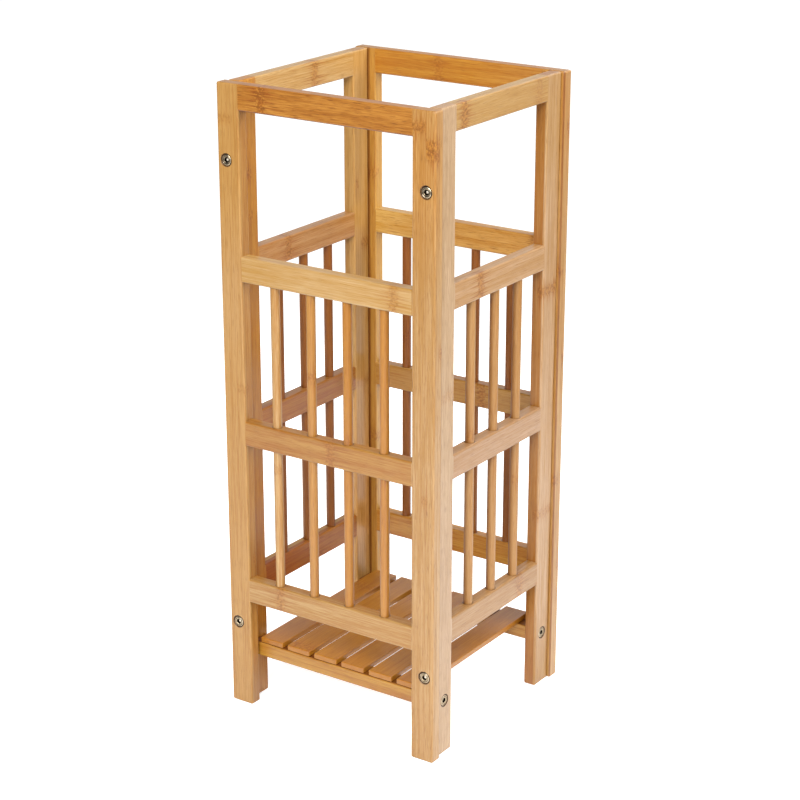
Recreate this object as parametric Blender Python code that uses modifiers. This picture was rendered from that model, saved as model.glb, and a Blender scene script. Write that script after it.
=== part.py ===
"""Umbrella stand in laminated bamboo: four ladder panels screwed together at the corners.

Each panel has two posts, four rails tenoned into them, and round spindles that run from the
lower rail through the middle rail into the upper rail. A shelf of slats near the feet takes the
umbrella tips. Metres, +Z up, front panel towards -Y, origin at floor level in the middle.
"""

import math

import bmesh
import bpy
from mathutils import Matrix, Vector

# Driving dimensions of the whole stand
HEIGHT = 0.600
WIDTH = 0.230
DEPTH = 0.222
GAP = 0.0003

# Stock: posts and panel rails are cut from the same laminated stick
STICK_WIDE = 0.0236
STICK_THICK = 0.0124
EDGE_ROUND = 0.0015
SIDE_INSET = 0.0031

# Rails, from the rim down: names and the heights of their top faces
RAIL_NAMES = ("top", "upper", "middle", "lower")
RAIL_TOPS = (HEIGHT, 0.4446, 0.2884, 0.1310)
TENON_SHOULDER = 0.0032
TENON_LENGTH = 0.0080

# Spindles
SPINDLE_RADIUS = 0.0043
SPINDLE_SEAT = 0.0080
SPINDLE_SIDES = 16
FRONT_SPINDLES = 4
FRONT_SPINDLE_PITCH = 0.0394
SIDE_SPINDLES = 3
SIDE_SPINDLE_PITCH = 0.0390

# Shelf
SHELF_RAIL_WIDE = 0.0190
SHELF_RAIL_HIGH = 0.0144
SHELF_RAIL_BOTTOM = 0.0458
SLAT_COUNT = 6
SLAT_WIDE = 0.0255
SLAT_THICK = 0.0054
SLAT_PITCH = 0.0312
SLAT_ROUND = 0.0008

# Screws: countersunk heads with a hexagon socket
SCREW_HEAD_RADIUS = 0.0056
SCREW_RIM_HIGH = 0.0010
SCREW_CONE_DEPTH = 0.0042
SCREW_RADIUS = 0.0025
SCREW_LENGTH = 0.0320
SCREW_TIP = 0.0025
SCREW_STEPS = 16
HEAD_SINK = 0.0003
SOCKET_ACROSS = 0.0045
SOCKET_DEPTH = 0.0030
UPPER_SCREW_HEIGHT = 0.531
LOWER_SCREW_HEIGHT = 0.084

# Derived places
SIDE_PANEL_WIDTH = DEPTH - 2 * (STICK_THICK + GAP)
FRONT_PANEL_Y = (DEPTH - STICK_THICK) / 2
SIDE_PANEL_X = (WIDTH - STICK_THICK) / 2 - SIDE_INSET
SIDE_POST_Y = (SIDE_PANEL_WIDTH - STICK_WIDE) / 2
SPINDLE_BOTTOM = RAIL_TOPS[3] - SPINDLE_SEAT
SPINDLE_TOP = RAIL_TOPS[1] - STICK_WIDE + SPINDLE_SEAT
SHELF_RAIL_Z = SHELF_RAIL_BOTTOM + SHELF_RAIL_HIGH / 2
SLAT_Z = SHELF_RAIL_BOTTOM + SHELF_RAIL_HIGH + GAP + SLAT_THICK / 2

# Colours, linear
POST_BAMBOO = (0.66, 0.40, 0.17)
RAIL_BAMBOO = (0.55, 0.29, 0.09)
SPINDLE_BAMBOO = (0.68, 0.42, 0.19)
SLAT_BAMBOO = (0.46, 0.24, 0.10)
SCREW_METAL = (0.45, 0.42, 0.36)


def clear_scene():
    for item in list(bpy.data.objects):
        bpy.data.objects.remove(item, do_unlink=True)


def new_collection(name):
    group = bpy.data.collections.new(name)
    bpy.context.scene.collection.children.link(group)
    return group


def finish(name, colour, roughness, metallic=0.0):
    """A Principled material for one piece."""
    material = bpy.data.materials.new(f"{name}_finish")
    material.use_nodes = True
    shader = material.node_tree.nodes["Principled BSDF"]
    shader.inputs["Base Color"].default_value = (*colour, 1.0)
    shader.inputs["Roughness"].default_value = roughness
    shader.inputs["Metallic"].default_value = metallic
    material.diffuse_color = (*colour, 1.0)
    return material


def mesh_from(bm, name):
    bmesh.ops.recalc_face_normals(bm, faces=bm.faces)
    mesh = bpy.data.meshes.new(name)
    bm.to_mesh(mesh)
    bm.free()
    return mesh


def place(name, mesh, group, frame=None, location=(0, 0, 0), rotation=(0, 0, 0)):
    """A new object in a collection, standing in its frame's coordinates."""
    item = bpy.data.objects.new(name, mesh)
    item.parent = frame
    item.location = location
    item.rotation_euler = rotation
    group.objects.link(item)
    return item


def add_block(bm, size, centre=(0, 0, 0)):
    made = bmesh.ops.create_cube(bm, size=1.0)
    bmesh.ops.scale(bm, vec=size, verts=made["verts"])
    bmesh.ops.translate(bm, vec=centre, verts=made["verts"])


def add_rod(bm, radius, low, high, x=0.0):
    """A closed upright cylinder from height low to height high."""
    bmesh.ops.create_cone(
        bm,
        cap_ends=True,
        segments=SPINDLE_SIDES,
        radius1=radius,
        radius2=radius,
        depth=high - low,
        matrix=Matrix.Translation((x, 0, (low + high) / 2)),
    )


def add_tenons(bm):
    """Draw a tenon out of each end face of a block that lies along X."""
    for direction in (-1, 1):
        end = max(bm.faces, key=lambda face: direction * face.calc_center_median().x)
        bmesh.ops.inset_individual(bm, faces=[end], thickness=TENON_SHOULDER, use_even_offset=True)
        drawn = bmesh.ops.extrude_discrete_faces(bm, faces=[end])["faces"][0]
        bmesh.ops.translate(bm, vec=(direction * TENON_LENGTH, 0, 0), verts=drawn.verts)


def weigh_edges(bm, long_edges_only):
    """Mark the edges that Bevel rounds: all of them, or only those along the piece."""
    weights = bm.edges.layers.float.new("bevel_weight_edge")
    longest = max(edge.calc_length() for edge in bm.edges)
    for edge in bm.edges:
        if not long_edges_only or edge.calc_length() > longest / 2:
            edge[weights] = 1.0


def stick(name, size, location, frame, colour, rounding=EDGE_ROUND, tenons=False, square_ends=False):
    """A rectangular bamboo stick with rounded edges; its ends are square where they meet a post."""
    bm = bmesh.new()
    add_block(bm, size)
    if tenons:
        add_tenons(bm)
    weigh_edges(bm, long_edges_only=tenons or square_ends)
    piece = place(name, mesh_from(bm, name), stand, frame, location)
    piece.data.materials.append(finish(name, colour, 0.42))
    bevel = piece.modifiers.new("rounded_edges", "BEVEL")
    bevel.limit_method = "WEIGHT"
    bevel.width = rounding
    bevel.segments = 1
    return piece


def make_cutter(name, bm, frame):
    item = place(name, mesh_from(bm, name), cutters, frame)
    item.hide_render = True
    item.display_type = "WIRE"
    return item


def cut(piece, cutter):
    modifier = piece.modifiers.new(f"cut_{cutter.name}"[:60], "BOOLEAN")
    modifier.operation = "DIFFERENCE"
    modifier.solver = "EXACT"
    modifier.object = cutter


def spindle_places(count, pitch):
    return [(i - (count - 1) / 2) * pitch for i in range(count)]


def mortise_cutter(name, width, frame):
    """The pockets for all eight tenons of a panel."""
    bm = bmesh.new()
    pocket = (
        TENON_LENGTH + GAP + STICK_WIDE,
        STICK_THICK - 2 * (TENON_SHOULDER - GAP),
        STICK_WIDE - 2 * (TENON_SHOULDER - GAP),
    )
    end_of_pocket = width / 2 - STICK_WIDE + GAP + TENON_LENGTH
    for top in RAIL_TOPS:
        for direction in (-1, 1):
            x = direction * (end_of_pocket - pocket[0] / 2)
            add_block(bm, pocket, (x, 0, top - STICK_WIDE / 2))
    return make_cutter(f"{name}_mortises", bm, frame)


def bore_cutter(name, places, frame):
    """The holes for all the spindles of a panel."""
    bm = bmesh.new()
    for x in places:
        add_rod(bm, SPINDLE_RADIUS + GAP, SPINDLE_BOTTOM - GAP, SPINDLE_TOP + GAP, x)
    return make_cutter(f"{name}_bores", bm, frame)


def add_spindles(name, places, frame):
    for number, x in enumerate(places, 1):
        bm = bmesh.new()
        add_rod(bm, SPINDLE_RADIUS, SPINDLE_BOTTOM, SPINDLE_TOP)
        label = f"{name}_panel_spindle_{number}"
        spindle = place(label, mesh_from(bm, label), stand, frame, (x, 0, 0))
        spindle.data.materials.append(finish(label, SPINDLE_BAMBOO, 0.40))
        spindle.data.shade_smooth()
        spindle.data.set_sharp_from_angle(angle=math.radians(40))


def add_panel(name, ends, width, centre, turn, places):
    """A ladder panel. Its outer face looks along -Y of its frame, and ends names its two posts."""
    frame = place(f"{name}_panel_frame", None, stand, None, centre, (0, 0, turn))
    mortises = mortise_cutter(name, width, frame)
    bores = bore_cutter(name, places, frame)
    posts = {}
    for end, direction in zip(ends, (-1, 1)):
        x = direction * (width - STICK_WIDE) / 2
        size = (STICK_WIDE, STICK_THICK, HEIGHT)
        post = stick(f"{name}_panel_{end}_post", size, (x, 0, HEIGHT / 2), frame, POST_BAMBOO)
        cut(post, mortises)
        posts[end] = post
    for label, top in zip(RAIL_NAMES, RAIL_TOPS):
        size = (width - 2 * (STICK_WIDE + GAP), STICK_THICK, STICK_WIDE)
        location = (0, 0, top - STICK_WIDE / 2)
        rail = stick(f"{name}_panel_{label}_rail", size, location, frame, RAIL_BAMBOO, tenons=True)
        if label != "top":
            cut(rail, bores)
    add_spindles(name, places, frame)
    return frame, posts


def add_shelf():
    """Two rails between the side panels with slats across them."""
    length = 2 * (SIDE_PANEL_X - STICK_THICK / 2 - GAP)
    rails = {}
    for label, direction in (("front", -1), ("back", 1)):
        size = (length, SHELF_RAIL_WIDE, SHELF_RAIL_HIGH)
        location = (0, direction * SIDE_POST_Y, SHELF_RAIL_Z)
        rails[label] = stick(f"shelf_{label}_rail", size, location, None, RAIL_BAMBOO, square_ends=True)
    slat_length = 2 * SIDE_POST_Y + SHELF_RAIL_WIDE
    for number, x in enumerate(spindle_places(SLAT_COUNT, SLAT_PITCH), 1):
        size = (SLAT_WIDE, slat_length, SLAT_THICK)
        stick(f"shelf_slat_{number}", size, (x, 0, SLAT_Z), None, SLAT_BAMBOO, rounding=SLAT_ROUND)
    return rails


def screw_profile(clearance, top):
    """Outline of a screw from the head's middle down to its tip, grown outwards by clearance."""
    radius = SCREW_RADIUS + clearance
    head = SCREW_HEAD_RADIUS + clearance
    end = SCREW_LENGTH + clearance
    return [
        (0, top),
        (head, top),
        (head, -SCREW_RIM_HIGH - clearance / 2),
        (radius, -SCREW_CONE_DEPTH - clearance / 2),
        (radius, -SCREW_LENGTH + SCREW_TIP),
        (radius / 2, -end),
        (0, -end),
    ]


def turned_mesh(name, outline):
    """The outline, given as radius and height, turned about Z into a closed mesh."""
    mesh = bpy.data.meshes.new(f"{name}_outline")
    points = [(radius, 0, height) for radius, height in outline]
    mesh.from_pydata(points, [(i, i + 1) for i in range(len(points) - 1)], [])
    turned = place(name, mesh, cutters)
    spin = turned.modifiers.new("turn", "SCREW")
    spin.axis = "Z"
    spin.steps = SCREW_STEPS
    spin.render_steps = SCREW_STEPS
    spin.use_merge_vertices = True
    spin.merge_threshold = 0.00001
    return turned


def evaluated_mesh(item, name):
    """The object's mesh with its modifiers applied; the object itself is removed."""
    bpy.context.view_layer.update()
    mesh = bpy.data.meshes.new_from_object(item.evaluated_get(bpy.context.evaluated_depsgraph_get()))
    mesh.name = name
    bpy.data.objects.remove(item, do_unlink=True)
    return mesh


def screw_meshes():
    """The screw with its hexagon socket, and the hole that it needs."""
    blank = turned_mesh("screw_blank", screw_profile(0, 0))
    bm = bmesh.new()
    bmesh.ops.create_cone(
        bm,
        cap_ends=True,
        segments=6,
        radius1=SOCKET_ACROSS / math.sqrt(3),
        radius2=SOCKET_ACROSS / math.sqrt(3),
        depth=2 * SOCKET_DEPTH,
    )
    socket = make_cutter("screw_socket", bm, None)
    cut(blank, socket)
    screw = evaluated_mesh(blank, "screw")
    bpy.data.objects.remove(socket, do_unlink=True)
    screw.shade_smooth()
    screw.set_sharp_from_angle(angle=math.radians(35))
    hole = evaluated_mesh(turned_mesh("screw_hole", screw_profile(GAP, STICK_THICK)), "screw_hole")
    return screw, hole


def add_screw(name, meshes, frame, x, z, pieces):
    """A screw driven into a panel's outer face, with its hole cut through the pieces it joins."""
    screw_mesh, hole_mesh = meshes
    location = (x, -STICK_THICK / 2 + HEAD_SINK, z)
    rotation = (math.radians(90), 0, 0)
    screw = place(name, screw_mesh.copy(), stand, frame, location, rotation)
    screw.data.materials.append(finish(name, SCREW_METAL, 0.32, 1.0))
    hole = place(f"{name}_hole", hole_mesh, cutters, frame, location, rotation)
    hole.hide_render = True
    hole.display_type = "WIRE"
    for piece in pieces:
        cut(piece, hole)


clear_scene()
stand = new_collection("umbrella_stand")
cutters = new_collection("cutters")

front_places = spindle_places(FRONT_SPINDLES, FRONT_SPINDLE_PITCH)
side_places = spindle_places(SIDE_SPINDLES, SIDE_SPINDLE_PITCH)
front_centre = Vector((0, -FRONT_PANEL_Y, 0))
right_centre = Vector((SIDE_PANEL_X, 0, 0))
half_turn = math.pi
quarter_turn = math.pi / 2

front = add_panel("front", ("left", "right"), WIDTH, front_centre, 0, front_places)
back = add_panel("back", ("right", "left"), WIDTH, -front_centre, half_turn, front_places)
right = add_panel("right", ("front", "back"), SIDE_PANEL_WIDTH, right_centre, quarter_turn, side_places)
left = add_panel("left", ("back", "front"), SIDE_PANEL_WIDTH, -right_centre, -quarter_turn, side_places)
panels = {"front": front, "back": back, "right": right, "left": left}
shelf_rails = add_shelf()

meshes = screw_meshes()
for face, ends in (("front", ("left", "right")), ("back", ("right", "left"))):
    frame, posts = panels[face]
    for end, direction in zip(ends, (-1, 1)):
        joined = (posts[end], panels[end][1][face])
        for level, height in (("upper", UPPER_SCREW_HEIGHT), ("lower", LOWER_SCREW_HEIGHT)):
            label = f"{face}_screw_{level}_{end}"
            add_screw(label, meshes, frame, direction * SIDE_PANEL_X, height, joined)
for side, ends in (("right", ("front", "back")), ("left", ("back", "front"))):
    frame, posts = panels[side]
    for end, direction in zip(ends, (-1, 1)):
        joined = (posts[end], shelf_rails[end])
        label = f"shelf_screw_{side}_{end}"
        add_screw(label, meshes, frame, direction * SIDE_POST_Y, SHELF_RAIL_Z, joined)
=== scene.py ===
"""Looks for the umbrella stand: laminated bamboo sticks, dowels and plated socket screws.

Every piece is built in its own axes, X along the grain, and stands where the CAD's node is.
Lengths are in metres, and the wood's pattern is laid out in millimetres.
"""

import math
import random

import bmesh
import bpy
from mathutils import Matrix, Vector


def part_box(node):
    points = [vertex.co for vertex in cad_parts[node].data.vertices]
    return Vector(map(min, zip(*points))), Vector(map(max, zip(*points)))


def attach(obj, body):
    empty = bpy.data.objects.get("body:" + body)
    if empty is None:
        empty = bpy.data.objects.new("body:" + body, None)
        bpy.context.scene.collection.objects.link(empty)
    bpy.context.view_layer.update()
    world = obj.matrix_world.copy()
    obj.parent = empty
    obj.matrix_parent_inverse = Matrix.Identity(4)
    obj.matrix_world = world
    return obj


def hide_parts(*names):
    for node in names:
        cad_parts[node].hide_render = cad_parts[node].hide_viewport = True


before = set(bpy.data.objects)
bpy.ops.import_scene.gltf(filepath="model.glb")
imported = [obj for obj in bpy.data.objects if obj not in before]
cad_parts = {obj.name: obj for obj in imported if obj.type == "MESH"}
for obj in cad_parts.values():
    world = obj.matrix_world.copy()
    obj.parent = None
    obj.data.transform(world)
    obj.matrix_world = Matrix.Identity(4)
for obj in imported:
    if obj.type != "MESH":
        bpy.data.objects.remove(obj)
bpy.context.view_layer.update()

MM = 0.001

# Camera
CAMERA_AZIMUTH = 34.22
CAMERA_ELEVATION = 19.40
CAMERA_DISTANCE = 2.0203
CAMERA_LENS = 97.63
CAMERA_SENSOR = 36.0
CAMERA_CLIP = (0.05, 50.0)
AIM_HEIGHT = 0.2955
AIM_RIGHT = 0.0034

# Shapes
STICK_ROUND = 1.7 * MM
SLAT_ROUND = 0.9 * MM
ROUND_STEPS = 5
SEAM = 0.05 * MM
FLUSH = 0.02 * MM
STUB_LENGTH = 3.0 * MM
TENON_SHOULDER = 3.2 * MM
TENON_LENGTH = 8.0 * MM
TENON_PLAY = 0.15 * MM
BORE_PLAY = 0.16 * MM
SPINDLE_SIDES = 40
SCREW_STEPS = 64
COUNTERSINK_PLAY = 0.25 * MM
DOWEL_CHAMFER = 0.6 * MM
OVERCUT = 4.0 * MM
SHARP_ANGLE = 32.0

# Seeds, which give every piece its own grain or wear
PANEL_SEED, PANEL_SEEDS = 1, 17
RAIL_SEED, SPINDLE_SEED = 3, 10
SHELF_RAIL_SEED, SLAT_SEED = 70, 80
WOOD_SEED, WOOD_SEEDS = 3.0, 5.37
PLATE_SEED, PLATE_SEEDS = 11.0, 3.7
GRAIN_SHIFT = 7.3
STRIP_SHIFT = 90.0
SCREW_TURN = 47

# Wood grain: noise scales per millimetre, along the fibres and across them
WIDE_GRAIN = (0.006, 0.16)
STREAK_GRAIN = (0.016, 0.72)
FIBRE_GRAIN = (0.060, 2.0)
DASH_GRAIN = (0.080, 1.45)
MOTTLE_GRAIN = (0.320, 0.50)
WOBBLE_GRAIN = (0.010, 0.30)
TAIL_GRAIN = (0.012, 0.75)
# How far each of them moves the wood between its light and its dark tone
STRIP_TONE = 0.5
WIDE_TONE = 1.5
STREAK_TONE = 2.8
FIBRE_TONE = 1.8

# Wood pattern, in millimetres
DASH_LEVELS = (0.57, 0.66)
TAIL_LEVELS = (0.44, 0.70)
KNUCKLE_CORE = (2.5, 8.0)
KNUCKLE_TAIL = (5.0, 26.0)
KNUCKLE_WOBBLE = 9.0
KNUCKLE_BEND = 5.0
KNUCKLE_SPACING = 235.0
BEYOND_WIDTH = 30.0
PLY_GLUE = (0.05, 0.28)
SPLIT_GLUE = (0.05, 0.35)
HEAD_RIM = (6.0, 6.6)
HEAD_RIM_RAGGED = 1.2
# Painted shade round the dowels where they leave a rail
DOWEL_SHADE_RIM = (4.7, 5.5)
# Reach of the painted shade in the corners where sticks meet
CORNER_REACH = 1.9
INNER_CORNER_REACH = 2.3

# Strengths of the marks
CORNER_FULL = 0.42
# Strength of the painted shade in the corners where sticks meet
CORNER_SHADE_STRENGTH = 0.85
FLAME_STRENGTH = 0.95
FLECK_STRENGTH = 0.70
BLOT_STRENGTH = 0.95
PLY_GLUE_STRENGTH = 0.5
SPLIT_GLUE_STRENGTH = 0.35
END_GRAIN_STRENGTH = 0.35
HEAD_RIM_STRENGTH = 0.9
# Painted shade round the dowels
DOWEL_SHADE_STRENGTH = 0.85

# Finish, with roughness as its least value and what the pattern adds to it
LACQUER = 0.5
LACQUER_ROUGHNESS = 0.25
WOOD_ROUGHNESS = (0.34, 0.16)
PLATE_ROUGHNESS = (0.22, 0.22)
WOOD_BUMP = (0.22, 0.12 * MM)
PLATE_BUMP = (0.3, 0.03 * MM)

# Wood colours, linear
CREAM = (0.450, 0.270, 0.090)
PALE = (0.350, 0.190, 0.050)
STRAW = (0.420, 0.225, 0.050)
HONEY = (0.330, 0.145, 0.018)
GOLD = (0.380, 0.165, 0.020)
AMBER = (0.300, 0.110, 0.010)
RUSSET = (0.235, 0.078, 0.004)
KNUCKLE_DARK = (0.200, 0.070, 0.005)
KNUCKLE_LIGHT = (0.430, 0.195, 0.026)
# Multiplied into the wood
FIBRE = (0.500, 0.380, 0.250)
FLAME = (0.760, 0.540, 0.300)
# Dark rims round the screw heads, and painted shade round the dowels
DARK_RIM_AND_SHADE = (0.090, 0.040, 0.011)
SHADE = (0.450, 0.280, 0.120)
# Painted shade for the inner ply of the rails
WARM_INNER_SHADE = (0.940, 0.820, 0.500)

# Plate, in millimetres, with noise scales per millimetre
RING_GRAIN = (2.6, 0.6)
STAIN_GRAIN = 0.55
LAND_RADIUS = 3.6
GROOVE_RADIUS = 3.9
GROOVE_HALF = (0.10, 0.40)
# Heights and radii of the painted shade in the socket and of the painted highlight at its bottom
SOCKET_HEIGHTS = (-0.45, -0.2)
SOCKET_EDGE = (1.3, 1.7)
PIP_EDGE = (0.8, 1.3)
WORN_STRENGTH = 0.30
LAND_STRENGTH = 0.55
GRIME_STRENGTH = 0.9
PIP_DULLNESS = 0.7

# Plate colours, linear
NICKEL_DULL = (0.72, 0.57, 0.37)
NICKEL_BRIGHT = (0.93, 0.79, 0.58)
NICKEL_WORN = (0.16, 0.11, 0.065)
NICKEL_LAND = (0.22, 0.155, 0.085)
# Painted highlight at the bottom of the socket
PIP_HIGHLIGHT = (0.90, 0.82, 0.68)
GRIME = (0.030, 0.020, 0.012)
# Painted shade in the socket
SOCKET_SHADE = (0.020, 0.014, 0.009)

# Studio, with lamps as azimuth, elevation, distance, size and power
LAMPS = {
    "key_light": (20, 36, 2.6, 1.8, 112),
    "side_light": (70, 38, 2.2, 1.2, 10),
    "back_light": (110, 38, 2.2, 1.2, 38),
    "rear_fill": (182, 12, 3.2, 2.2, 45),
    "left_fill": (262, 12, 3.2, 2.2, 45),
}
BACKDROP_WAY = Vector((-0.562, 0.827, 0))
BACKDROP_SIDE = (0.25, 0.75)
BACKDROP_TOP = (0.55, 0.80)
BACKDROP_GLOW = 0.6
BACKDROP_LIGHT = 0.6
ROOM_LIGHT = 0.03
FLOOR_GLOW = 0.6
FLOOR_LIT_SPAN = (0.5, 1.6)
FLOOR_SEEN_SPAN = (0.15, 1.4)
FLOOR_FADE_SPAN = (0.8, 1.5)
FLOOR_GREYS = (0.93, 0.15)
FLOOR_ROUGHNESS = 0.9
FLOOR_HALF_WIDTH = 6.0
FLOOR_DROP = 0.2 * MM

RAILS = ("top", "upper", "middle", "lower")
PANELS = {
    "front": {"posts": ("left", "right"), "out": Vector((0, -1, 0))},
    "back": {"posts": ("right", "left"), "out": Vector((0, 1, 0))},
    "right": {"posts": ("front", "back"), "out": Vector((1, 0, 0))},
    "left": {"posts": ("back", "front"), "out": Vector((-1, 0, 0))},
}
UP = Vector((0, 0, 1))


# ---------------------------------------------------------------- node trees


class Tree:
    """Short calls that add nodes to a material and link them."""

    def __init__(self, material):
        material.use_nodes = True
        self.tree = material.node_tree
        self.tree.nodes.clear()

    def put(self, socket, value):
        if isinstance(value, bpy.types.NodeSocket):
            self.tree.links.new(value, socket)
        elif value is not None:
            socket.default_value = value

    def node(self, kind, inputs=(), **settings):
        made = self.tree.nodes.new(kind)
        for key, value in settings.items():
            setattr(made, key, value)
        for key, value in dict(inputs).items():
            self.put(made.inputs[key], value)
        return made

    def math(self, operation, *values):
        made = self.tree.nodes.new("ShaderNodeMath")
        made.operation = operation
        for socket, value in zip(made.inputs, values):
            self.put(socket, value)
        return made.outputs[0]

    def ramp(self, value, low, high, to_low=0.0, to_high=1.0):
        """Smooth step of value from low to high."""
        made = self.node(
            "ShaderNodeMapRange",
            {"Value": value, "From Min": low, "From Max": high, "To Min": to_low, "To Max": to_high},
            interpolation_type="SMOOTHSTEP",
        )
        return made.outputs["Result"]

    def millimetres(self, place):
        """The object's own coordinates in millimetres."""
        at = place.outputs["Object"]
        scaled = self.node("ShaderNodeVectorMath", {0: at, "Scale": 1 / MM}, operation="SCALE")
        return self.node("ShaderNodeSeparateXYZ", {0: scaled.outputs[0]}).outputs

    def distance(self, x, from_x, y, from_y):
        """Distance in a plane from a fixed point."""
        first = self.math("POWER", self.math("SUBTRACT", x, from_x), 2.0)
        second = self.math("POWER", self.math("SUBTRACT", y, from_y), 2.0)
        return self.math("SQRT", self.math("ADD", first, second))

    def mix(self, factor, first, second, blend="MIX"):
        made = self.tree.nodes.new("ShaderNodeMix")
        made.data_type = "RGBA"
        made.blend_type = blend
        made.clamp_factor = True
        self.put(made.inputs[0], factor)
        for socket, value in ((made.inputs[6], first), (made.inputs[7], second)):
            self.put(socket, (*value, 1.0) if isinstance(value, tuple) else value)
        return made.outputs[2]

    def noise(self, x, y, z, detail=2.0, roughness=0.5):
        at = self.node("ShaderNodeCombineXYZ", {0: x, 1: y, 2: z}).outputs[0]
        made = self.node(
            "ShaderNodeTexNoise",
            {"Vector": at, "Scale": 1.0, "Detail": detail, "Roughness": roughness},
            noise_dimensions="3D",
        )
        return made.outputs[0]

    def bump(self, height, strength, distance):
        inputs = {"Strength": strength, "Distance": distance, "Height": height}
        return self.node("ShaderNodeBump", inputs).outputs[0]

    def finish(self, colour, roughness, bump=None, **shader):
        """The surface shader, with its other inputs by name, and the output."""
        made = self.node("ShaderNodeBsdfPrincipled", {"Base Color": colour, "Roughness": roughness})
        for key, value in shader.items():
            self.put(made.inputs[key.replace("_", " ")], value)
        if bump is not None:
            self.put(made.inputs["Normal"], bump)
        out = self.tree.nodes.new("ShaderNodeOutputMaterial")
        self.tree.links.new(made.outputs[0], out.inputs[0])


def bamboo(
    name,
    seed,
    light,
    dark,
    stain=(1, 1, 1),
    inner=None,
    tones=(),
    split=None,
    ply=0.0,
    dashes=0.35,
    streaks=1.0,
    fine=1.0,
    knots=(),
    screws=(),
    feet=(),
    grooves=(),
    shaded=(),
    coat=LACQUER,
):
    """Laminated bamboo, with all places in millimetres.

    stain multiplies the wood, and inner its inner ply as painted shade inside the stand. split and ply are
    the places of the glue lines.
    dashes, streaks and fine are the strengths of the grain's dark dashes, wide streaks and fine fibres.
    tones are (x, reach, multiplier, side) along the stick, and knots are (x, low y, high y, side,
    strength), with side 0 for both plies, 1 for the outer one and -1 for the inner one.
    screws are (x, y, side), and feet are the (x, z, side) where dowels come out of a rail, with painted
    shade round them.
    grooves are the (y, z, reach, strength) of painted shade in the corners against another stick, and
    shaded are the (axis, low, high, strength, multiplier) of painted light or shade on faces, by the way
    they face.
    """
    material = bpy.data.materials.new(name)
    t = Tree(material)
    place = t.node("ShaderNodeTexCoord")
    x, y, z = t.millimetres(place)
    facing = t.node("ShaderNodeSeparateXYZ", {0: place.outputs["Normal"]}).outputs

    # The strips that the stick is glued from, each with its own pattern and tone
    strip = t.math("GREATER_THAN", y, split) if split is not None else 0.0
    layer = t.math("GREATER_THAN", z, ply) if ply is not None else 0.0
    cell = t.math("ADD", t.math("MULTIPLY", layer, 2.0), strip)
    cell = t.math("ADD", cell, seed)
    chance = t.node("ShaderNodeTexWhiteNoise", {"W": cell}, noise_dimensions="1D").outputs[0]
    shift = t.math("MULTIPLY", chance, STRIP_SHIFT)
    shift = t.math("ADD", shift, seed * GRAIN_SHIFT)

    def grain(scales, detail=2.0, roughness=0.5, sway=y):
        """Noise that is stretched along the fibres, and that sways across them."""
        along, cross = scales
        return t.noise(
            t.math("ADD", t.math("MULTIPLY", x, along), shift),
            t.math("MULTIPLY", sway, cross),
            t.math("MULTIPLY", z, cross),
            detail,
            roughness,
        )

    # Knuckles: a blotched band where the fibres cross, with flames that run out along them
    core = 0.0
    flame = 0.0
    across = y
    mottle = grain(MOTTLE_GRAIN, 3.0, 0.6)
    if knots:
        wobble = t.math("SUBTRACT", grain(WOBBLE_GRAIN, 3.0, 0.7), 0.5)
        wobble = t.math("MULTIPLY", wobble, KNUCKLE_WOBBLE)
        reach = t.ramp(grain(TAIL_GRAIN), *TAIL_LEVELS, *KNUCKLE_TAIL)
        for at, low, high, side, strength in knots:
            away = t.math("SUBTRACT", t.math("ADD", x, wobble), at)
            span = t.math("ABSOLUTE", away)
            inside = t.math("MULTIPLY", t.math("GREATER_THAN", y, low), t.math("LESS_THAN", y, high))
            if side:
                this_ply = t.math("GREATER_THAN", t.math("MULTIPLY", z, float(side)), 0.0)
                inside = t.math("MULTIPLY", inside, this_ply)
            inside = t.math("MULTIPLY", inside, strength)
            core = t.math("ADD", core, t.math("MULTIPLY", t.ramp(span, *KNUCKLE_CORE, 1.0, 0.0), inside))
            tail = t.ramp(t.math("DIVIDE", span, reach), 0.35, 1.0, 1.0, 0.0)
            flame = t.math("ADD", flame, t.math("MULTIPLY", tail, inside))
        bend = t.math("SUBTRACT", mottle, 0.5)
        bend = t.math("MULTIPLY", bend, t.math("MULTIPLY", core, KNUCKLE_BEND))
        across = t.math("ADD", y, bend)

    wide = grain(WIDE_GRAIN, sway=across)
    streak = grain(STREAK_GRAIN, 3.0, 0.65, sway=across)
    fibre = grain(FIBRE_GRAIN, 2.0, 0.6, sway=across)
    dash = t.ramp(grain(DASH_GRAIN, 2.0, 0.5, sway=across), *DASH_LEVELS)

    tint = 0.5
    for value, weight in (
        (chance, STRIP_TONE),
        (wide, WIDE_TONE),
        (streak, STREAK_TONE * streaks),
        (fibre, FIBRE_TONE * fine),
    ):
        pull = t.math("MULTIPLY", t.math("SUBTRACT", value, 0.5), weight)
        tint = t.math("ADD", tint, pull)
    stained = [tuple(a * b for a, b in zip(wood, stain)) for wood in (light, dark)]
    colour = t.mix(tint, *stained)
    colour = t.mix(t.math("MULTIPLY", dash, dashes), colour, t.mix(1.0, colour, FIBRE, "MULTIPLY"))
    for at, extent, tone, side in tones:
        near = t.ramp(t.math("ABSOLUTE", t.math("SUBTRACT", x, at)), 0.0, extent, 1.0, 0.0)
        if side:
            near = t.math("MULTIPLY", near, t.math("LESS_THAN", t.math("MULTIPLY", z, float(-side)), -0.1))
        colour = t.mix(near, colour, t.mix(1.0, colour, tone, "MULTIPLY"))
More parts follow.
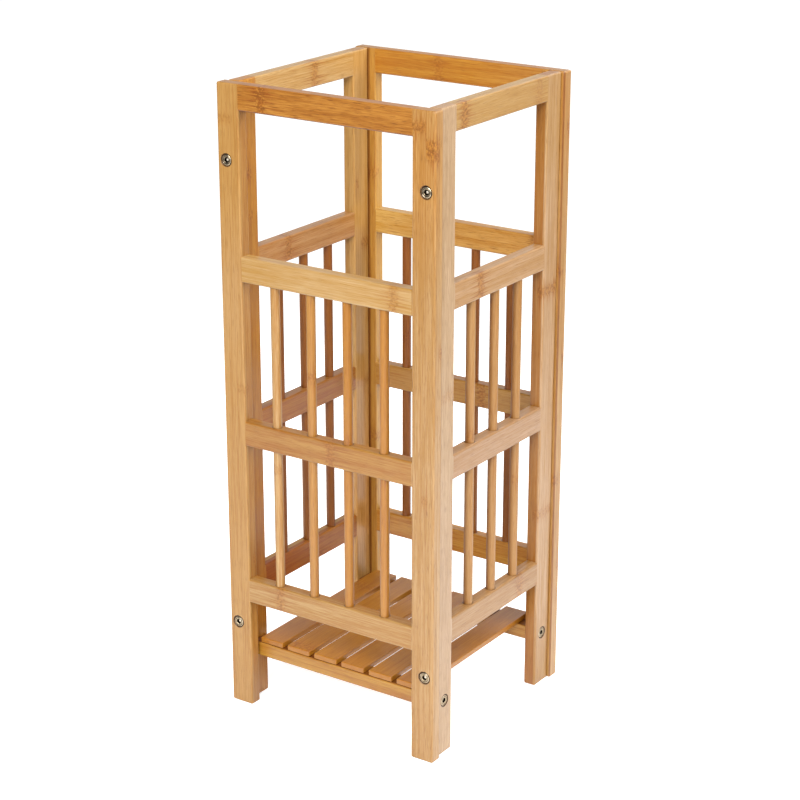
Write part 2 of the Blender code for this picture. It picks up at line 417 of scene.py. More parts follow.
    # Painted shade on the inner ply, the faces inside the stand
    if inner is not None:
        colour = t.mix(layer, t.mix(1.0, colour, inner, "MULTIPLY"), colour)
    if knots:
        burnt = t.mix(1.0, colour, FLAME, "MULTIPLY")
        colour = t.mix(t.math("MULTIPLY", flame, FLAME_STRENGTH), colour, burnt)
        fleck = t.math("MULTIPLY", core, t.ramp(mottle, 0.50, 0.40))
        blot = t.math("MULTIPLY", core, t.ramp(mottle, 0.50, 0.60))
        colour = t.mix(t.math("MULTIPLY", fleck, FLECK_STRENGTH), colour, KNUCKLE_LIGHT)
        colour = t.mix(t.math("MULTIPLY", blot, BLOT_STRENGTH), colour, KNUCKLE_DARK)

    # Glue lines, end grain, dark rims round the screw heads, painted shade round the dowels where they
    # leave a rail, and painted shade in the corners against another stick
    if ply is not None:
        away = t.math("ABSOLUTE", t.math("SUBTRACT", z, ply))
        colour = t.mix(t.ramp(away, *PLY_GLUE, PLY_GLUE_STRENGTH, 0.0), colour, KNUCKLE_DARK)
    if split is not None:
        away = t.math("ABSOLUTE", t.math("SUBTRACT", y, split))
        colour = t.mix(t.ramp(away, *SPLIT_GLUE, SPLIT_GLUE_STRENGTH, 0.0), colour, KNUCKLE_DARK)
    end = t.ramp(t.math("ABSOLUTE", facing[0]), 0.75, 0.95)
    colour = t.mix(t.math("MULTIPLY", end, END_GRAIN_STRENGTH), colour, AMBER)
    for sx, sy, side in screws:
        ragged = t.math("MULTIPLY", t.math("SUBTRACT", mottle, 0.5), HEAD_RIM_RAGGED)
        away = t.math("ADD", t.distance(x, sx, y, sy), ragged)
        near = t.math("GREATER_THAN", t.math("MULTIPLY", z, float(side)), 1.0)
        rim = t.ramp(away, *HEAD_RIM, HEAD_RIM_STRENGTH, 0.0)
        colour = t.mix(t.math("MULTIPLY", rim, near), colour, DARK_RIM_AND_SHADE)
    # Painted shade in a ring round each dowel where it comes out of a rail
    for fx, fz, side in feet:
        rim = t.ramp(t.distance(x, fx, z, fz), *DOWEL_SHADE_RIM, DOWEL_SHADE_STRENGTH, 0.0)
        there = t.ramp(t.math("MULTIPLY", facing[1], float(side)), 0.5, 0.9)
        colour = t.mix(t.math("MULTIPLY", rim, there), colour, DARK_RIM_AND_SHADE)
    # Painted shade along the corners where the stick meets another
    for gy, gz, reach, strength in grooves:
        line = t.ramp(t.distance(y, gy, z, gz), CORNER_FULL * reach, reach, strength, 0.0)
        colour = t.mix(line, colour, t.mix(1.0, colour, SHADE, "MULTIPLY"))
    # Painted light or shade on faces, by the way they face
    for axis, low, high, strength, tone in shaded:
        painted_by_facing = t.ramp(facing[axis], low, high, 0.0, strength)
        colour = t.mix(painted_by_facing, colour, t.mix(1.0, colour, tone, "MULTIPLY"))

    roughness = t.math("ADD", WOOD_ROUGHNESS[0], t.math("MULTIPLY", streak, WOOD_ROUGHNESS[1]))
    height = t.math("SUBTRACT", t.math("MULTIPLY", fibre, 0.8), t.math("MULTIPLY", dash, 0.5))
    if knots:
        height = t.math("ADD", height, t.math("MULTIPLY", t.math("MULTIPLY", core, mottle), 1.2))
    bump = t.bump(height, *WOOD_BUMP)
    t.finish(colour, roughness, bump, Coat_Weight=coat, Coat_Roughness=LACQUER_ROUGHNESS)
    return material


def plated(name, seed):
    """Antique nickel plate: brushed in rings, darker where it is worn into the groove, with painted shade
    in the socket and a painted highlight at its bottom.
    """
    material = bpy.data.materials.new(name)
    t = Tree(material)
    place = t.node("ShaderNodeTexCoord")
    x, y, z = t.millimetres(place)
    reach = t.distance(x, 0.0, y, 0.0)
    outward = t.math("MULTIPLY", reach, RING_GRAIN[0])
    rings = t.noise(outward, seed, t.math("MULTIPLY", z, RING_GRAIN[1]), 3.0, 0.6)
    wide_x, wide_y, wide_z = [t.math("MULTIPLY", way, STAIN_GRAIN) for way in (x, y, z)]
    stain = t.noise(wide_x, t.math("ADD", wide_y, seed), wide_z, 3.0)
    colour = t.mix(t.ramp(stain, 0.35, 0.65), NICKEL_DULL, NICKEL_BRIGHT)
    colour = t.mix(t.math("MULTIPLY", rings, WORN_STRENGTH), colour, NICKEL_WORN)
    land = t.ramp(reach, LAND_RADIUS, GROOVE_RADIUS, LAND_STRENGTH, 0.0)
    colour = t.mix(land, colour, NICKEL_LAND)
    groove = t.math("ABSOLUTE", t.math("SUBTRACT", reach, GROOVE_RADIUS))
    colour = t.mix(t.ramp(groove, *GROOVE_HALF, GRIME_STRENGTH, 0.0), colour, GRIME)
    # Painted shade in the socket, and a painted highlight at the middle of its bottom
    sunk = t.ramp(z, *SOCKET_HEIGHTS, 1.0, 0.0)
    colour = t.mix(t.math("MULTIPLY", sunk, t.ramp(reach, *SOCKET_EDGE)), colour, SOCKET_SHADE)
    pip_highlight = t.math("MULTIPLY", sunk, t.ramp(reach, *PIP_EDGE, 1.0, 0.0))
    colour = t.mix(pip_highlight, colour, PIP_HIGHLIGHT)
    roughness = t.math("ADD", PLATE_ROUGHNESS[0], t.math("MULTIPLY", rings, PLATE_ROUGHNESS[1]))
    bump = t.bump(rings, *PLATE_BUMP)
    # The painted highlight is less metallic, so that it shows bright
    metal = t.math("SUBTRACT", 1.0, t.math("MULTIPLY", pip_highlight, PIP_DULLNESS))
    t.finish(colour, roughness, bump, Metallic=metal)
    return material


# ---------------------------------------------------------------- meshes


def cube(bm, size, centre=(0, 0, 0)):
    made = bmesh.ops.create_cube(bm, size=1.0)["verts"]
    bmesh.ops.scale(bm, vec=size, verts=made)
    bmesh.ops.translate(bm, vec=centre, verts=made)
    return made


def rounded_bar(bm, size, radius, centre=(0, 0, 0), square_ends=False):
    """A bar along X with rounded edges."""
    made = cube(bm, size, centre)
    edges = {edge for vert in made for edge in vert.link_edges}
    if square_ends:
        edges = {edge for edge in edges if abs(edge.verts[0].co.x - edge.verts[1].co.x) > size[0] / 2}
    bmesh.ops.bevel(
        bm,
        geom=list(edges),
        offset=radius,
        offset_type="OFFSET",
        segments=ROUND_STEPS,
        profile=0.5,
        affect="EDGES",
    )


def rod(bm, radius, low, high, sides, matrix=Matrix()):
    """A closed cylinder along the matrix's Z from low to high."""
    middle = Matrix.Translation((0, 0, (low + high) / 2))
    bmesh.ops.create_cone(
        bm,
        cap_ends=True,
        segments=sides,
        radius1=radius,
        radius2=radius,
        depth=high - low,
        matrix=matrix @ middle,
    )


def turned(bm, outline, steps, matrix=Matrix()):
    """A closed body turned about the matrix's Z, from (radius, height) points that end on the axis."""
    rings = []
    for radius, height in outline:
        if radius == 0:
            rings.append([bm.verts.new(matrix @ Vector((0, 0, height)))])
            continue
        angles = [2 * math.pi * i / steps for i in range(steps)]
        ring = [Vector((radius * math.cos(a), radius * math.sin(a), height)) for a in angles]
        rings.append([bm.verts.new(matrix @ point) for point in ring])
    for first, second in zip(rings, rings[1:]):
        for i in range(steps):
            j = (i + 1) % steps
            corners = [first[i % len(first)], first[j % len(first)]]
            corners += [second[j % len(second)], second[i % len(second)]]
            bm.faces.new(list(dict.fromkeys(corners)))


def to_mesh(bm, name):
    bmesh.ops.recalc_face_normals(bm, faces=bm.faces)
    mesh = bpy.data.meshes.new(name)
    bm.to_mesh(mesh)
    bm.free()
    return mesh


def combine(mesh, changes, name):
    """The mesh after a list of (operation, tool mesh) Booleans."""
    item = bpy.data.objects.new(name, mesh)
    bpy.context.scene.collection.objects.link(item)
    tools = []
    for operation, tool_mesh in changes:
        tool = bpy.data.objects.new(f"{name}_tool", tool_mesh)
        bpy.context.scene.collection.objects.link(tool)
        tools.append(tool)
        modifier = item.modifiers.new("shape", "BOOLEAN")
        modifier.operation = operation
        modifier.solver = "EXACT"
        modifier.object = tool
    bpy.context.view_layer.update()
    made = bpy.data.meshes.new_from_object(item.evaluated_get(bpy.context.evaluated_depsgraph_get()))
    made.name = name
    for used in [item, *tools]:
        bpy.data.objects.remove(used, do_unlink=True)
    return made


def add_piece(name, mesh, matrix, node, material, weigh=True):
    """A finished piece that stands for a CAD node and rides on the stand."""
    mesh.shade_smooth()
    mesh.set_sharp_from_angle(angle=math.radians(SHARP_ANGLE))
    mesh.materials.clear()
    mesh.materials.append(material)
    piece = bpy.data.objects.new(name, mesh)
    bpy.context.scene.collection.objects.link(piece)
    piece.matrix_world = matrix
    if weigh:
        modifier = piece.modifiers.new("face_weighted", "WEIGHTED_NORMAL")
        modifier.keep_sharp = True
    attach(piece, "root")
    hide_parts(node)


# ---------------------------------------------------------------- places


def axes(length_way, face_way, centre):
    """A matrix whose X runs along the grain and whose Z leaves the outer face."""
    across = face_way.cross(length_way)
    matrix = Matrix((length_way, across, face_way)).transposed().to_4x4()
    matrix.translation = centre
    return matrix


def middle_and_size(node):
    low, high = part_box(node)
    return (low + high) / 2, high - low


def extents(size, matrix):
    """A box's size along the axes of a matrix."""
    return [abs(size.dot(matrix.col[i].to_3d())) for i in range(3)]


def chance_knots(rng, length, width, split=None):
    """Knuckles at about the spacing of real ones, a set for each strip and ply."""
    found = []
    bands = ((-width, width),) if split is None else ((-width, split), (split, width))
    for low, high in bands:
        for side in (-1, 1):
            at = -length / 2 - rng.uniform(0, KNUCKLE_SPACING)
            while at < length / 2:
                if at > -length / 2 + 4:
                    found.append((at, low, high, side, rng.uniform(0.35, 0.9)))
                at += KNUCKLE_SPACING * rng.uniform(0.8, 1.2)
    return found


# ---------------------------------------------------------------- screws

# Half of the screw's section in millimetres, as (radius, height)
HEAD_OUTLINE = (
    (0.0, -0.10),
    (3.30, -0.10),
    (3.55, -0.04),
    (3.70, -0.14),
    (3.80, -0.34),
    (4.00, -0.34),
    (4.10, -0.12),
    (4.25, -0.04),
    (4.55, -0.08),
    (4.80, -0.25),
    (4.90, -0.55),
    (4.90, -1.20),
    (2.50, -4.20),
    (2.50, -29.4),
    (1.25, -31.7),
    (0.0, -31.7),
)
SOCKET_SIDES = 6
SOCKET_ACROSS = 4.6 * MM
SOCKET_DEPTH = 2.0 * MM
SOCKET_TURN = 12
SOCKET_FLARE = 1.1 * MM
ABOVE_FACE = 1.0 * MM
# Its hole
HEAD_RADIUS = 5.5 * MM
SHANK_RADIUS = 2.5 * MM
CONE_TOP = -1.1 * MM
CONE_FOOT = -4.4 * MM
SCREW_LENGTH = 32.0 * MM
SCREW_GRIP = 20.0 * MM
ON_FACE = 2.0 * MM


def screw_mesh():
    bm = bmesh.new()
    turned(bm, [(r * MM, h * MM) for r, h in HEAD_OUTLINE], SCREW_STEPS)
    body = to_mesh(bm, "screw_body")
    bm = bmesh.new()
    corner = SOCKET_ACROSS / math.sqrt(3)
    turn = Matrix.Rotation(math.radians(SOCKET_TURN), 4, "Z")
    rod(bm, corner, -SOCKET_DEPTH, ABOVE_FACE, SOCKET_SIDES, turn)
    socket = to_mesh(bm, "screw_socket")
    bm = bmesh.new()
    outline = (
        (0, ABOVE_FACE),
        (corner + SOCKET_FLARE, ABOVE_FACE),
        (corner - 0.15 * MM, -0.25 * MM),
        (0, -0.25 * MM),
    )
    turned(bm, outline, SCREW_STEPS)
    mouth = to_mesh(bm, "screw_mouth")
    return combine(body, [("DIFFERENCE", socket), ("DIFFERENCE", mouth)], "screw")


def screw_hole(bm, matrix):
    """The countersunk hole, turned about the matrix's Z with its mouth at the origin."""
    head = HEAD_RADIUS + COUNTERSINK_PLAY
    shank = SHANK_RADIUS + COUNTERSINK_PLAY
    outline = (
        (0, ABOVE_FACE),
        (head + 0.25 * MM, ABOVE_FACE),
        (head + 0.25 * MM, 0.30 * MM),
        (head, 0.0),
        (head, CONE_TOP),
        (shank, CONE_FOOT),
        (shank, -SCREW_LENGTH),
        (0, -SCREW_LENGTH),
    )
    turned(bm, outline, SCREW_STEPS, matrix)


def screw_frame(node):
    """The screw's place: Z out of the head, the origin at the head's face."""
    low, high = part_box(node)
    centre, size = (low + high) / 2, high - low
    along = max(range(3), key=lambda i: size[i])
    out = Vector((0, 0, 0))
    out[along] = 1.0 if centre[along] > 0 else -1.0
    side = Vector((0, 0, 1)).cross(out)
    matrix = Matrix((side, out.cross(side), out)).transposed().to_4x4()
    matrix.translation = centre + out * size[along] / 2
    return matrix


# ---------------------------------------------------------------- pieces


def looks_of(node, default):
    """A piece's own look over the default for its kind."""
    return {**default, **LOOKS.get(node, {})}


def full(at, side=0, strength=0.8):
    """A knuckle across the whole width."""
    return (at, -BEYOND_WIDTH, BEYOND_WIDTH, side, strength)


# Knuckles are placed along the stick from its middle, in millimetres: up a post, and to the right
# along a rail as seen from outside its panel. Side 1 is the outer ply and -1 the inner one.
# In the looks below, seam is the strength of the painted shade in a post's corners, inner tones are
# painted shade inside the stand, and shaded entries paint light or shade by the way a face faces. These
# spindles have painted shade on their inner sides.
SHADED_SPINDLE = {"shaded": ((2, 0.8, 0.1, 1.0, (0.62, 0.46, 0.24)),), "coat": 0.1}
# Paler spindles, with painted shade on their inner sides
PALE_SPINDLE = {
    "light": STRAW,
    "dark": HONEY,
    "stain": (0.90, 0.90, 1.4),
    "shaded": ((2, 0.6, -0.9, 0.75, SHADE),),
    "coat": 0.2,
}
LOOKS = {
    "front_panel_left_post": {
        "split": -3.0,
        "stain": (0.96, 0.96, 1.2),
        "ply": 3.0,
        "inner": (0.97, 0.88, 0.72),
        "tones": [(110.0, 110.0, (1.06, 1.13, 1.5), 0)],
        "knots": [(268.0, -3.0, 30.0, 1, 0.30), (20.0, -30.0, -3.0, 1, 0.30), full(-150.0, -1, 0.5)],
    },
    "front_panel_right_post": {
        "split": -2.5,
        "stain": (1.0, 1.12, 2.1),
        "tones": [(250.0, 120.0, (1.02, 0.90, 0.64), 0)],
        "dashes": 0.55,
        "knots": [
            (263.0, -30.0, -2.5, 1, 0.85),
            (271.0, -30.0, -2.5, 1, 0.85),
            (285.0, -2.5, 30.0, 1, 0.80),
            (-46.0, -5.0, 1.0, 1, 0.6),
            full(90.0, -1, 0.6),
        ],
    },
    "front_panel_top_rail": {
        "light": GOLD,
        "dark": RUSSET,
        "stain": (1.12, 1.12, 1.4),
        "fine": 1.6,
        "dashes": 0.9,
        # Painted shade on its underside
        "shaded": ((1, -0.2, -0.8, 1.0, SHADE),),
        "knots": [full(-66.5, 0, 1.0)],
    },
    "front_panel_upper_rail": {
        "light": CREAM,
        "dark": HONEY,
        "stain": (1.11, 1.28, 1.9),
        "inner": WARM_INNER_SHADE,
        "streaks": 0.4,
        "fine": 0.7,
        "dashes": 0.2,
        "knots": [full(72.0, 0, 0.5)],
    },
    "front_panel_middle_rail": {"inner": WARM_INNER_SHADE, "stain": (0.89, 0.85, 0.85), "knots": [full(4.0, 0, 0.6)]},
    "front_panel_lower_rail": {
        "inner": WARM_INNER_SHADE,
        "stain": (1.01, 1.19, 2.0),
        "dashes": 0.2,
        "knots": [full(-55.0, 0, 0.6)],
    },
    "right_panel_front_post": {
        "light": CREAM,
        "dark": PALE,
        "stain": (1.04, 1.16, 2.0),
        "streaks": 0.8,
        "fine": 1.3,
        "dashes": 0.6,
        "tones": [(-150.0, 200.0, (0.95, 0.93, 0.95), 0)],
        "knots": [full(45.0, 1, 0.3)],
    },
    "right_panel_back_post": {
        "stain": (1.03, 1.20, 2.9),
        "ply": 4.0,
        "inner": (0.84, 0.62, 0.28),
        "tones": [(-290.0, 75.0, (0.82, 0.70, 0.33), 0), (270.0, 110.0, (0.96, 0.92, 0.70), 0)],
        "knots": [full(100.0, 1, 0.8), full(-120.0, 1, 0.5)],
    },
    "right_panel_top_rail": {
        "dark": HONEY,
        "stain": (1.07, 1.24, 2.0),
        "knots": [full(-62.0, 1, 0.9), full(60.0, 1, 0.35)],
    },
    "right_panel_upper_rail": {
        "dark": HONEY,
        "inner": WARM_INNER_SHADE,
        "stain": (1.07, 1.24, 3.0),
        "knots": [full(-33.0, 1, 0.8)],
    },
    "right_panel_middle_rail": {"dark": HONEY, "inner": WARM_INNER_SHADE, "stain": (0.94, 1.05, 2.6)},
    "right_panel_lower_rail": {"dark": HONEY, "inner": WARM_INNER_SHADE, "stain": (0.87, 0.93, 1.75)},
    "back_panel_left_post": {
        "stain": (0.94, 0.86, 0.62),
        "corner_shade": 1.0,
        # Painted light on its side that faces the opening
        "shaded": ((1, 0.6, 0.9, 1.0, (1.42, 1.57, 2.1)),),
        "knots": [full(180.0, -1, 0.5), full(-90.0, -1, 0.5)],
    },
    "back_panel_top_rail": {
        "light": CREAM,
        "dark": HONEY,
        "stain": (0.97, 0.75, 0.25),
        "tones": [(-95.0, 90.0, (0.97, 1.02, 1.8), -1)],
        "knots": [full(20.0, 0, 0.5)],
    },
    "back_panel_upper_rail": {
        "light": CREAM,
        "dark": HONEY,
        "stain": (1.22, 1.12, 0.80),
        "tones": [(110.0, 100.0, (1.08, 1.30, 1.7), 0)],
        "dashes": 0.7,
        "knots": [full(-86.0, -1, 0.5)],
    },
    "left_panel_front_post": {
        "stain": (1.1, 0.93, 0.4),
        "tones": [(-150.0, 260.0, (0.85, 0.76, 0.72), 0)],
        "corner_shade": 0.3,
        "knots": [(215.0, -4.0, 3.0, -1, 0.8), (176.0, -3.0, 4.0, -1, 0.5)],
    },
    "left_panel_back_post": {
        "split": -2.0,
        "stain": (1.10, 1.15, 1.5),
        "tones": [(-130.0, 160.0, (1.30, 1.24, 1.28), 0)],
        "corner_shade": 1.0,
        "knots": [(172.0, -9.5, -4.0, -1, 0.6), (112.0, -1.0, 30.0, -1, 0.6), full(-30.0, -1, 0.3)],
    },
    "left_panel_top_rail": {
        "light": CREAM,
        "dark": HONEY,
        "stain": (1.09, 1.15, 1.3),
        "knots": [full(-14.0, 0, 0.7)],
    },
    "left_panel_upper_rail": {
        "light": CREAM,
        "dark": HONEY,
        "stain": (1.00, 0.865, 0.90),
        "knots": [full(30.0, 0, 0.8)],
    },
    "left_panel_middle_rail": {"inner": (0.87, 0.63, 0.21)},
    "left_panel_lower_rail": {
        "inner": (0.90, 0.60, 0.16),
        # Painted shade on its inner face, towards the front end
        "tones": [(91.0, 140.0, (0.66, 0.44, 0.20), -1)],
        "coat": 0.1,
    },
    "back_panel_lower_rail": {"stain": (1.25, 1.2, 0.85)},
    "front_panel_spindle_1": {"light": STRAW, "stain": (1.14, 1.38, 2.66)},
    "front_panel_spindle_2": {"stain": (1.09, 1.23, 2.0)},
    "front_panel_spindle_3": {"stain": (0.97, 0.93, 0.6)},
    **{f"back_panel_spindle_{number}": SHADED_SPINDLE for number in range(1, 5)},
    **{f"left_panel_spindle_{number}": SHADED_SPINDLE for number in range(1, 4)},
    **{f"right_panel_spindle_{number}": PALE_SPINDLE for number in range(1, 4)},
    "shelf_front_rail": {"stain": (1.0, 0.98, 0.6)},
    "back_panel_right_post": {"stain": (1.0, 1.04, 1.6), "tones": [(270.0, 120.0, (0.97, 0.86, 0.55), 0)]},
}

POST_LOOK = {"light": STRAW, "dark": HONEY, "streaks": 1.15, "dashes": 0.4, "ply": 0.2}
RAIL_LOOK = {"light": STRAW, "dark": AMBER, "streaks": 0.6, "dashes": 0.4, "ply": -0.1}
STRIP_LOOK = {"light": GOLD, "dark": AMBER, "dashes": 0.3, "ply": None}
SPINDLE_LOOK = {**STRIP_LOOK, "stain": (1.05, 1.05, 1.0), "streaks": 0.6}
SLAT_LOOK = {**STRIP_LOOK, "stain": (1.02, 0.95, 0.42), "streaks": 0.5}


def wood_for(node, default, length, width, seed, **places):
    """The piece's own bamboo, with knuckles by chance where its look names none."""
    look = looks_of(node, default)
    look.pop("corner_shade", None)
    rng = random.Random(seed)
    split = look.pop("split", None)
    knots = look.pop("knots", None)
    if knots is None:
        knots = chance_knots(rng, length / MM, width / MM, split=split)
    wood_seed = WOOD_SEED + seed * WOOD_SEEDS
    return bamboo(f"{node}_bamboo", wood_seed, split=split, knots=knots, **places, **look)


def rail_seats(rails, to_local, wide, thick, inward):
    """Stubs where a post meets its rails, and the mortises for their tenons."""
    stubs = bmesh.new()
    pockets = bmesh.new()
    depth = TENON_LENGTH + TENON_PLAY
    margin = 2 * (TENON_SHOULDER - TENON_PLAY)
    turn = Matrix.Rotation(math.radians(90), 4, "Z")
    for rail in rails:
        centre, size = middle_and_size(rail)
        at = (to_local @ centre).x
        stub = bmesh.new()
        rounded_bar(stub, (STUB_LENGTH, size.z - FLUSH, thick - FLUSH), STICK_ROUND, square_ends=True)
        mesh = to_mesh(stub, "stub")
        mesh.transform(Matrix.Translation((at, inward * (wide - STUB_LENGTH) / 2, 0)) @ turn)
        stubs.from_mesh(mesh)
        middle = inward * (wide / 2 - depth / 2 + OVERCUT / 2)
        cube(pockets, (size.z - margin, depth + OVERCUT, thick - margin), (at, middle, 0))
    return [("UNION", to_mesh(stubs, "stubs")), ("DIFFERENCE", to_mesh(pockets, "mortises"))]


def build_post(post, rails, out, beside, seed):
    """A post with mortises and screw holes, where beside names the post that is screwed behind it."""
    centre, size = middle_and_size(post)
    matrix = axes(UP, out, centre)
    to_local = matrix.inverted()
    long, wide, thick = extents(size, matrix)
    inward = math.copysign(1.0, (to_local @ middle_and_size(rails[0])[0]).y)
    bm = bmesh.new()
    rounded_bar(bm, (long, wide, thick), STICK_ROUND)
    blank = to_mesh(bm, post)
    cuts = rail_seats(rails, to_local, wide, thick, inward)
    spots = []
    bm = bmesh.new()
    for node in SCREWS:
        seat = screw_frame(node)
        local = to_local @ seat.translation
        reach = to_local @ (seat @ Vector((0, 0, -SCREW_GRIP)))
        if abs(local.y) > wide or abs(local.x) > long / 2 or min(abs(local.z), abs(reach.z)) > thick:
            continue
        if post in SCREWS[node]:
            screw_hole(bm, to_local @ seat)
            if abs(abs(local.z) - thick / 2) < ON_FACE:
                spots.append((local.x / MM, local.y / MM, 1 if local.z > 0 else -1))
    cuts.append(("DIFFERENCE", to_mesh(bm, "holes")))
    mesh = combine(blank, cuts, post)

    # Painted shade along the post's rounded corners, and along the line where the side post meets it
    corner_shade = LOOKS.get(post, {}).get("corner_shade", CORNER_SHADE_STRENGTH)
    corner = -inward * wide / 2 / MM
    face = thick / 2 / MM
    grooves = [(corner, side * face, CORNER_REACH, corner_shade) for side in ((-1,) if beside else (-1, 1))]
    if beside:
        line = ((to_local @ middle_and_size(beside)[0]).y + inward * thick / 2) / MM
        grooves.append((line, -face, INNER_CORNER_REACH, CORNER_SHADE_STRENGTH * corner_shade))
    material = wood_for(post, POST_LOOK, long, wide, seed, screws=spots, grooves=grooves)
    add_piece(f"{post}_bamboo", mesh, matrix, post, material)


def build_rail(rail, spindles, out, opening, thick, seed):
    """A rail with a tenon at each end and bores for the spindles."""
    centre, size = middle_and_size(rail)
    matrix = axes(UP.cross(out), out, centre)
    to_local = matrix.inverted()
    wide = size.z
    bm = bmesh.new()
    rounded_bar(bm, (opening - 2 * SEAM, wide, thick), STICK_ROUND, square_ends=True)
    blank = to_mesh(bm, rail)
    bm = bmesh.new()
    length = TENON_LENGTH + OVERCUT
    for way in (-1, 1):
        at = way * (opening / 2 + TENON_LENGTH - length / 2)
        cube(bm, (length, wide - 2 * TENON_SHOULDER, thick - 2 * TENON_SHOULDER), (at, 0, 0))
    changes = [("UNION", to_mesh(bm, "tenons"))]
    feet = []
    if spindles:
        bm = bmesh.new()
        for spindle in spindles:
            low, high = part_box(spindle)
            middle = (low + high) / 2
            foot = to_local @ Vector((middle.x, middle.y, low.z))
            head = to_local @ Vector((middle.x, middle.y, high.z))
            turn = Matrix.Translation((foot.x, 0, foot.z)) @ Matrix.Rotation(math.radians(-90), 4, "X")
            radius = (high.x - low.x) / 2 + BORE_PLAY
            for side, end in ((1, head.y), (-1, foot.y)):
                if end * side > wide / 2:
                    feet.append((foot.x / MM, foot.z / MM, side))
            ends = sorted((foot.y, head.y))
            rod(bm, radius, ends[0] - BORE_PLAY, ends[1] + BORE_PLAY, SPINDLE_SIDES, turn)
        changes.append(("DIFFERENCE", to_mesh(bm, "bores")))
    mesh = combine(blank, changes, rail)
    material = wood_for(rail, RAIL_LOOK, opening, wide, seed, feet=feet)
    add_piece(f"{rail}_bamboo", mesh, matrix, rail, material)


def build_spindle(spindle, out, seed):
    """A dowel with chamfered ends."""
    centre, size = middle_and_size(spindle)
    radius, half = size.x / 2, size.z / 2
    outline = [
        (0, -half),
        (radius - DOWEL_CHAMFER, -half),
        (radius, -half + DOWEL_CHAMFER),
        (radius, half - DOWEL_CHAMFER),
        (radius - DOWEL_CHAMFER, half),
        (0, half),
    ]
    bm = bmesh.new()
    turned(bm, outline, SPINDLE_SIDES, Matrix.Rotation(math.radians(90), 4, "Y"))
    material = wood_for(spindle, SPINDLE_LOOK, size.z, radius, seed)
    matrix = axes(UP, out, centre)
    add_piece(f"{spindle}_dowel", to_mesh(bm, spindle), matrix, spindle, material)


def build_panel(name, seed):
    """Two posts, the rails butted between them, and the spindles."""
    out = PANELS[name]["out"]
    ends = PANELS[name]["posts"]
    posts = [f"{name}_panel_{end}_post" for end in ends]
    rails = [f"{name}_panel_{label}_rail" for label in RAILS]
    spindles = sorted(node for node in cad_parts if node.startswith(f"{name}_panel_spindle"))

    for index, post in enumerate(posts):
        beside = f"{ends[index]}_panel_{name}_post" if name in ("front", "back") else None
        build_post(post, rails, out, beside, seed + index)

    (first, size), (second, _) = [middle_and_size(post) for post in posts]
    opening = (second - first).length - abs(size.dot(UP.cross(out)))
    thick = abs(size.dot(out))
    for index, rail in enumerate(rails):
        build_rail(rail, spindles if index else (), out, opening, thick, seed + RAIL_SEED + index)
    for index, spindle in enumerate(spindles):
        build_spindle(spindle, out, seed + SPINDLE_SEED + index)


def build_shelf():
    """Two rails between the side panels, with painted shade on their tops, and the slats across them."""
    for index, label in enumerate(("front", "back")):
        node = f"shelf_{label}_rail"
        centre, size = middle_and_size(node)
        matrix = axes(Vector((1, 0, 0)), UP, centre)
        long, wide, thick = extents(size, matrix)
        bm = bmesh.new()
        rounded_bar(bm, (long, wide, thick), STICK_ROUND, square_ends=True)
        blank = to_mesh(bm, node)
        bm = bmesh.new()
        for screw, joined in SCREWS.items():
            if node in joined:
                screw_hole(bm, matrix.inverted() @ screw_frame(screw))
        mesh = combine(blank, [("DIFFERENCE", to_mesh(bm, "holes"))], node)
        seed = SHELF_RAIL_SEED + index
        # Painted shade on the rails' tops, seen between the slats
        material = wood_for(node, RAIL_LOOK, long, wide, seed, shaded=((2, 0.6, 0.9, 1.0, SHADE),))
        add_piece(f"{node}_bamboo", mesh, matrix, node, material)
    slats = sorted(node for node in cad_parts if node.startswith("shelf_slat"))
    for index, node in enumerate(slats):
        centre, size = middle_and_size(node)
        matrix = axes(Vector((0, 1, 0)), UP, centre)
        bm = bmesh.new()
        rounded_bar(bm, extents(size, matrix), SLAT_ROUND)
        material = wood_for(node, SLAT_LOOK, size.y, size.x, SLAT_SEED + index)
        add_piece(f"{node}_bamboo", to_mesh(bm, node), matrix, node, material)


def build_screws():
    """The same screw in every place, each turned and worn a little differently."""
    shape = screw_mesh()
    for index, node in enumerate(SCREWS):
        turn = Matrix.Rotation(math.radians(SCREW_TURN * index), 4, "Z")
        material = plated(f"{node}_plate", PLATE_SEED + index * PLATE_SEEDS)
        matrix = screw_frame(node) @ turn
        add_piece(f"{node}_steel", shape.copy(), matrix, node, material, weigh=False)


# The two pieces that each screw joins
SCREWS = {}
for face in ("front", "back"):
    for end in ("left", "right"):
        for level in ("upper", "lower"):
            joined = (f"{face}_panel_{end}_post", f"{end}_panel_{face}_post")
            SCREWS[f"{face}_screw_{level}_{end}"] = joined
for side in ("left", "right"):
    for end in ("front", "back"):
        SCREWS[f"shelf_screw_{side}_{end}"] = (f"{side}_panel_{end}_post", f"shelf_{end}_rail")

for order, panel_name in enumerate(PANELS):
    build_panel(panel_name, PANEL_SEED + order * PANEL_SEEDS)
build_shelf()
build_screws()


# ---------------------------------------------------------------- studio


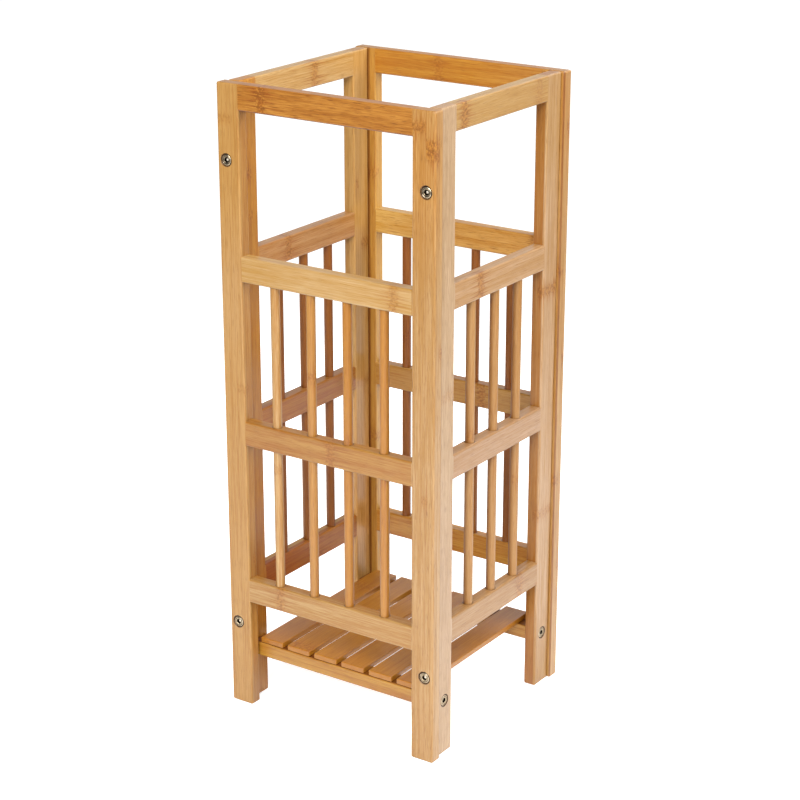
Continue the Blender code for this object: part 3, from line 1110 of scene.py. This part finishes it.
def add_floor():
    """White round the stand as the camera sees it, and dim for the light that it throws up."""
    bm = bmesh.new()
    bmesh.ops.create_grid(bm, x_segments=1, y_segments=1, size=FLOOR_HALF_WIDTH)
    floor = bpy.data.objects.new("studio_floor", to_mesh(bm, "studio_floor"))
    bpy.context.scene.collection.objects.link(floor)
    floor.location.z = -FLOOR_DROP
    material = bpy.data.materials.new("studio_white")
    t = Tree(material)
    at = t.node("ShaderNodeTexCoord").outputs["Object"]
    x, y, _ = t.node("ShaderNodeSeparateXYZ", {0: at}).outputs
    behind = t.math("ADD", t.math("MULTIPLY", x, BACKDROP_WAY.x), t.math("MULTIPLY", y, BACKDROP_WAY.y))
    reach = t.math("SQRT", t.math("ADD", t.math("MULTIPLY", x, x), t.math("MULTIPLY", y, y)))
    lit = t.ramp(behind, *FLOOR_LIT_SPAN, 0.0, BACKDROP_GLOW)
    seen = t.ramp(reach, *FLOOR_SEEN_SPAN, FLOOR_GLOW, 1.0)
    glow = t.mix(t.node("ShaderNodeLightPath").outputs["Is Camera Ray"], lit, seen)
    t.finish(t.ramp(reach, *FLOOR_FADE_SPAN, *FLOOR_GREYS), FLOOR_ROUGHNESS)
    shader = t.tree.nodes["Principled BSDF"]
    shader.inputs["Emission Strength"].default_value = 1.0
    t.put(shader.inputs["Emission Color"], glow)
    floor.data.materials.append(material)


def add_light(name, azimuth, elevation, distance, size, power):
    """A square soft box that faces the middle of the stand."""
    a, e = math.radians(azimuth), math.radians(elevation)
    way = Vector((math.sin(a) * math.cos(e), -math.cos(a) * math.cos(e), math.sin(e)))
    data = bpy.data.lights.new(name, "AREA")
    data.size = size
    data.energy = power
    lamp = bpy.data.objects.new(name, data)
    bpy.context.scene.collection.objects.link(lamp)
    lamp.location = Vector((0, 0, AIM_HEIGHT)) + way * distance
    lamp.rotation_euler = way.to_track_quat("Z", "Y").to_euler()


def add_world():
    """White where the camera looks past the floor; for the rest a lit backdrop in a dim room."""
    world = bpy.data.worlds.new("studio")
    bpy.context.scene.world = world
    world.use_nodes = True
    t = Tree(world)
    at = t.node("ShaderNodeTexCoord").outputs["Generated"]
    x, y, z = t.node("ShaderNodeSeparateXYZ", {0: at}).outputs
    behind = t.math("ADD", t.math("MULTIPLY", x, BACKDROP_WAY.x), t.math("MULTIPLY", y, BACKDROP_WAY.y))
    wall = t.ramp(z, *BACKDROP_TOP, BACKDROP_LIGHT, 0.0)
    wall = t.math("MULTIPLY", t.ramp(behind, *BACKDROP_SIDE), wall)
    room = t.math("MAXIMUM", wall, ROOM_LIGHT)
    level = t.math("MAXIMUM", room, t.node("ShaderNodeLightPath").outputs["Is Camera Ray"])
    shade = t.node("ShaderNodeBackground", {"Color": (1.0, 1.0, 1.0, 1.0), "Strength": level})
    out = t.tree.nodes.new("ShaderNodeOutputWorld")
    t.tree.links.new(shade.outputs[0], out.inputs[0])


def add_camera():
    """A long lens, without roll, that looks down at the stand from its front right."""
    a, e = math.radians(CAMERA_AZIMUTH), math.radians(CAMERA_ELEVATION)
    back = Vector((math.sin(a) * math.cos(e), -math.cos(a) * math.cos(e), math.sin(e)))
    right = Vector((math.cos(a), math.sin(a), 0))
    data = bpy.data.cameras.new("camera")
    data.lens = CAMERA_LENS
    data.sensor_width = CAMERA_SENSOR
    data.clip_start, data.clip_end = CAMERA_CLIP
    camera = bpy.data.objects.new("camera", data)
    bpy.context.scene.collection.objects.link(camera)
    camera.location = Vector((0, 0, AIM_HEIGHT)) + right * AIM_RIGHT + back * CAMERA_DISTANCE
    camera.rotation_euler = back.to_track_quat("Z", "Y").to_euler()
    bpy.context.scene.camera = camera


add_floor()
add_world()
for lamp_name, lamp_settings in LAMPS.items():
    add_light(lamp_name, *lamp_settings)
add_camera()
bpy.context.scene.view_settings.view_transform = "Standard"
